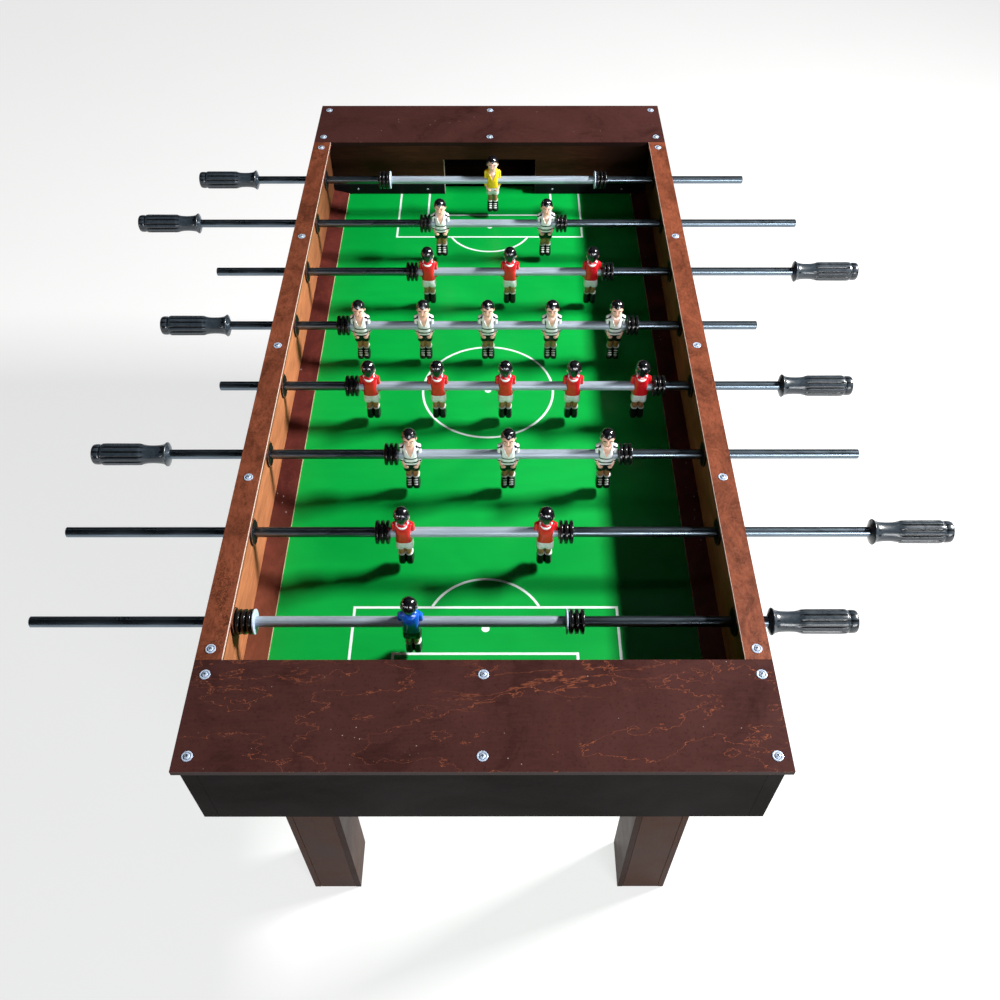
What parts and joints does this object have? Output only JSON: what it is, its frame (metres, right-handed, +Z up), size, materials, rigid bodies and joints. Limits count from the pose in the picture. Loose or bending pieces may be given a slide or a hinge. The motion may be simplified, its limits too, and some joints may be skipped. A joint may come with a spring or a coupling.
{
  "type": "foosball table",
  "caption": "Free-standing table football game: wooden cabinet on square legs, green pitch, and sliding, spinning steel rods with moulded players and ribbed handles.",
  "frame": {"origin": "on the floor, under the middle of the table", "axes": "+X to the right along the rods, +Y along the field from the near end to the far end, +Z up"},
  "size_m": [1.2741, 1.434, 0.815],
  "materials": {
    "wood_dark": "dark mahogany stain, satin",
    "wood_side": "near-black brown stain, satin",
    "wood_trim": "red-brown stain, satin",
    "field_green": "printed green board, glossy",
    "steel": "drawn steel tube",
    "black_plastic": "moulded black, satin",
    "figure_white": "moulded and painted, glossy",
    "figure_red": "moulded and painted, glossy",
    "figure_yellow": "moulded and painted, glossy",
    "figure_blue": "moulded and painted, glossy"
  },
  "bodies": {
    "table": {"side_panel_left": "wood_side", "side_panel_right": "wood_side", "end_panel_near": "wood_side", "end_panel_far": "wood_side", "end_board_near": "wood_dark", "end_board_far": "wood_dark", "side_trim_left": "wood_trim", "side_trim_right": "wood_trim", "playfield": "field_green", "side_ramp_left": "wood_dark", "side_ramp_right": "wood_dark", "goal_wall_near": "wood_side", "goal_wall_far": "wood_side", "ball_tray_near": "wood_side", "ball_tray_far": "wood_side", "field_batten_near": "wood_side", "field_batten_far": "wood_side", "leg_near_left": "wood_dark", "leg_near_right": "wood_dark", "leg_far_left": "wood_dark", "leg_far_right": "wood_dark"},
    "rod_1": {"rod_1": "steel"},
    "team_1": {"handle_1": "black_plastic", "figure_1_1": "figure_yellow"},
    "rod_2": {"rod_2": "steel"},
    "team_2": {"handle_2": "black_plastic", "figure_2_1": "figure_white", "figure_2_2": "figure_white"},
    "rod_3": {"rod_3": "steel"},
    "team_3": {"handle_3": "black_plastic", "figure_3_1": "figure_red", "figure_3_2": "figure_red", "figure_3_3": "figure_red"},
    "rod_4": {"rod_4": "steel"},
    "team_4": {"handle_4": "black_plastic", "figure_4_1": "figure_white", "figure_4_2": "figure_white", "figure_4_3": "figure_white", "figure_4_4": "figure_white", "figure_4_5": "figure_white"},
    "rod_5": {"rod_5": "steel"},
    "team_5": {"handle_5": "black_plastic", "figure_5_1": "figure_red", "figure_5_2": "figure_red", "figure_5_3": "figure_red", "figure_5_4": "figure_red", "figure_5_5": "figure_red"},
    "rod_6": {"rod_6": "steel"},
    "team_6": {"handle_6": "black_plastic", "figure_6_1": "figure_white", "figure_6_2": "figure_white", "figure_6_3": "figure_white"},
    "rod_7": {"rod_7": "steel"},
    "team_7": {"handle_7": "black_plastic", "figure_7_1": "figure_red", "figure_7_2": "figure_red"},
    "rod_8": {"rod_8": "steel"},
    "team_8": {"handle_8": "black_plastic", "figure_8_1": "figure_blue"}
  },
  "joints": [
    {"name": "rod_1_slide", "type": "slide", "parent": "table", "child": "rod_1", "axis": [1, 0, 0], "range_m": [-0.0985, 0.0865]},
    {"name": "rod_1_spin", "type": "hinge", "parent": "rod_1", "child": "team_1", "pos_m": [0.00601, 0.5012, 0.765], "axis": [1, 0, 0], "continuous": true},
    {"name": "rod_2_slide", "type": "slide", "parent": "table", "child": "rod_2", "axis": [1, 0, 0], "range_m": [-0.185, 0.169]},
    {"name": "rod_2_spin", "type": "hinge", "parent": "rod_2", "child": "team_2", "pos_m": [0.00796, 0.358, 0.765], "axis": [1, 0, 0], "continuous": true},
    {"name": "rod_3_slide", "type": "slide", "parent": "table", "child": "rod_3", "axis": [1, 0, 0], "range_m": [-0.1691, 0.0949]},
    {"name": "rod_3_spin", "type": "hinge", "parent": "rod_3", "child": "team_3", "pos_m": [0.03709, 0.2148, 0.765], "axis": [1, 0, 0], "continuous": true},
    {"name": "rod_4_slide", "type": "slide", "parent": "table", "child": "rod_4", "axis": [1, 0, 0], "range_m": [-0.065, 0.065]},
    {"name": "rod_4_spin", "type": "hinge", "parent": "rod_4", "child": "team_4", "pos_m": [0, 0.0716, 0.765], "axis": [1, 0, 0], "continuous": true},
    {"name": "rod_5_slide", "type": "slide", "parent": "table", "child": "rod_5", "axis": [1, 0, 0], "range_m": [-0.093, 0.037]},
    {"name": "rod_5_spin", "type": "hinge", "parent": "rod_5", "child": "team_5", "pos_m": [0.02802, -0.0716, 0.765], "axis": [1, 0, 0], "continuous": true},
    {"name": "rod_6_slide", "type": "slide", "parent": "table", "child": "rod_6", "axis": [1, 0, 0], "range_m": [-0.1635, 0.1005]},
    {"name": "rod_6_spin", "type": "hinge", "parent": "rod_6", "child": "team_6", "pos_m": [0.03155, -0.2148, 0.765], "axis": [1, 0, 0], "continuous": true},
    {"name": "rod_7_slide", "type": "slide", "parent": "table", "child": "rod_7", "axis": [1, 0, 0], "range_m": [-0.162, 0.192]},
    {"name": "rod_7_spin", "type": "hinge", "parent": "rod_7", "child": "team_7", "pos_m": [-0.01504, -0.358, 0.765], "axis": [1, 0, 0], "continuous": true},
    {"name": "rod_8_slide", "type": "slide", "parent": "table", "child": "rod_8", "axis": [1, 0, 0], "range_m": [0, 0.185]},
    {"name": "rod_8_spin", "type": "hinge", "parent": "rod_8", "child": "team_8", "pos_m": [-0.0925, -0.5012, 0.765], "axis": [1, 0, 0], "continuous": true}
  ]
}
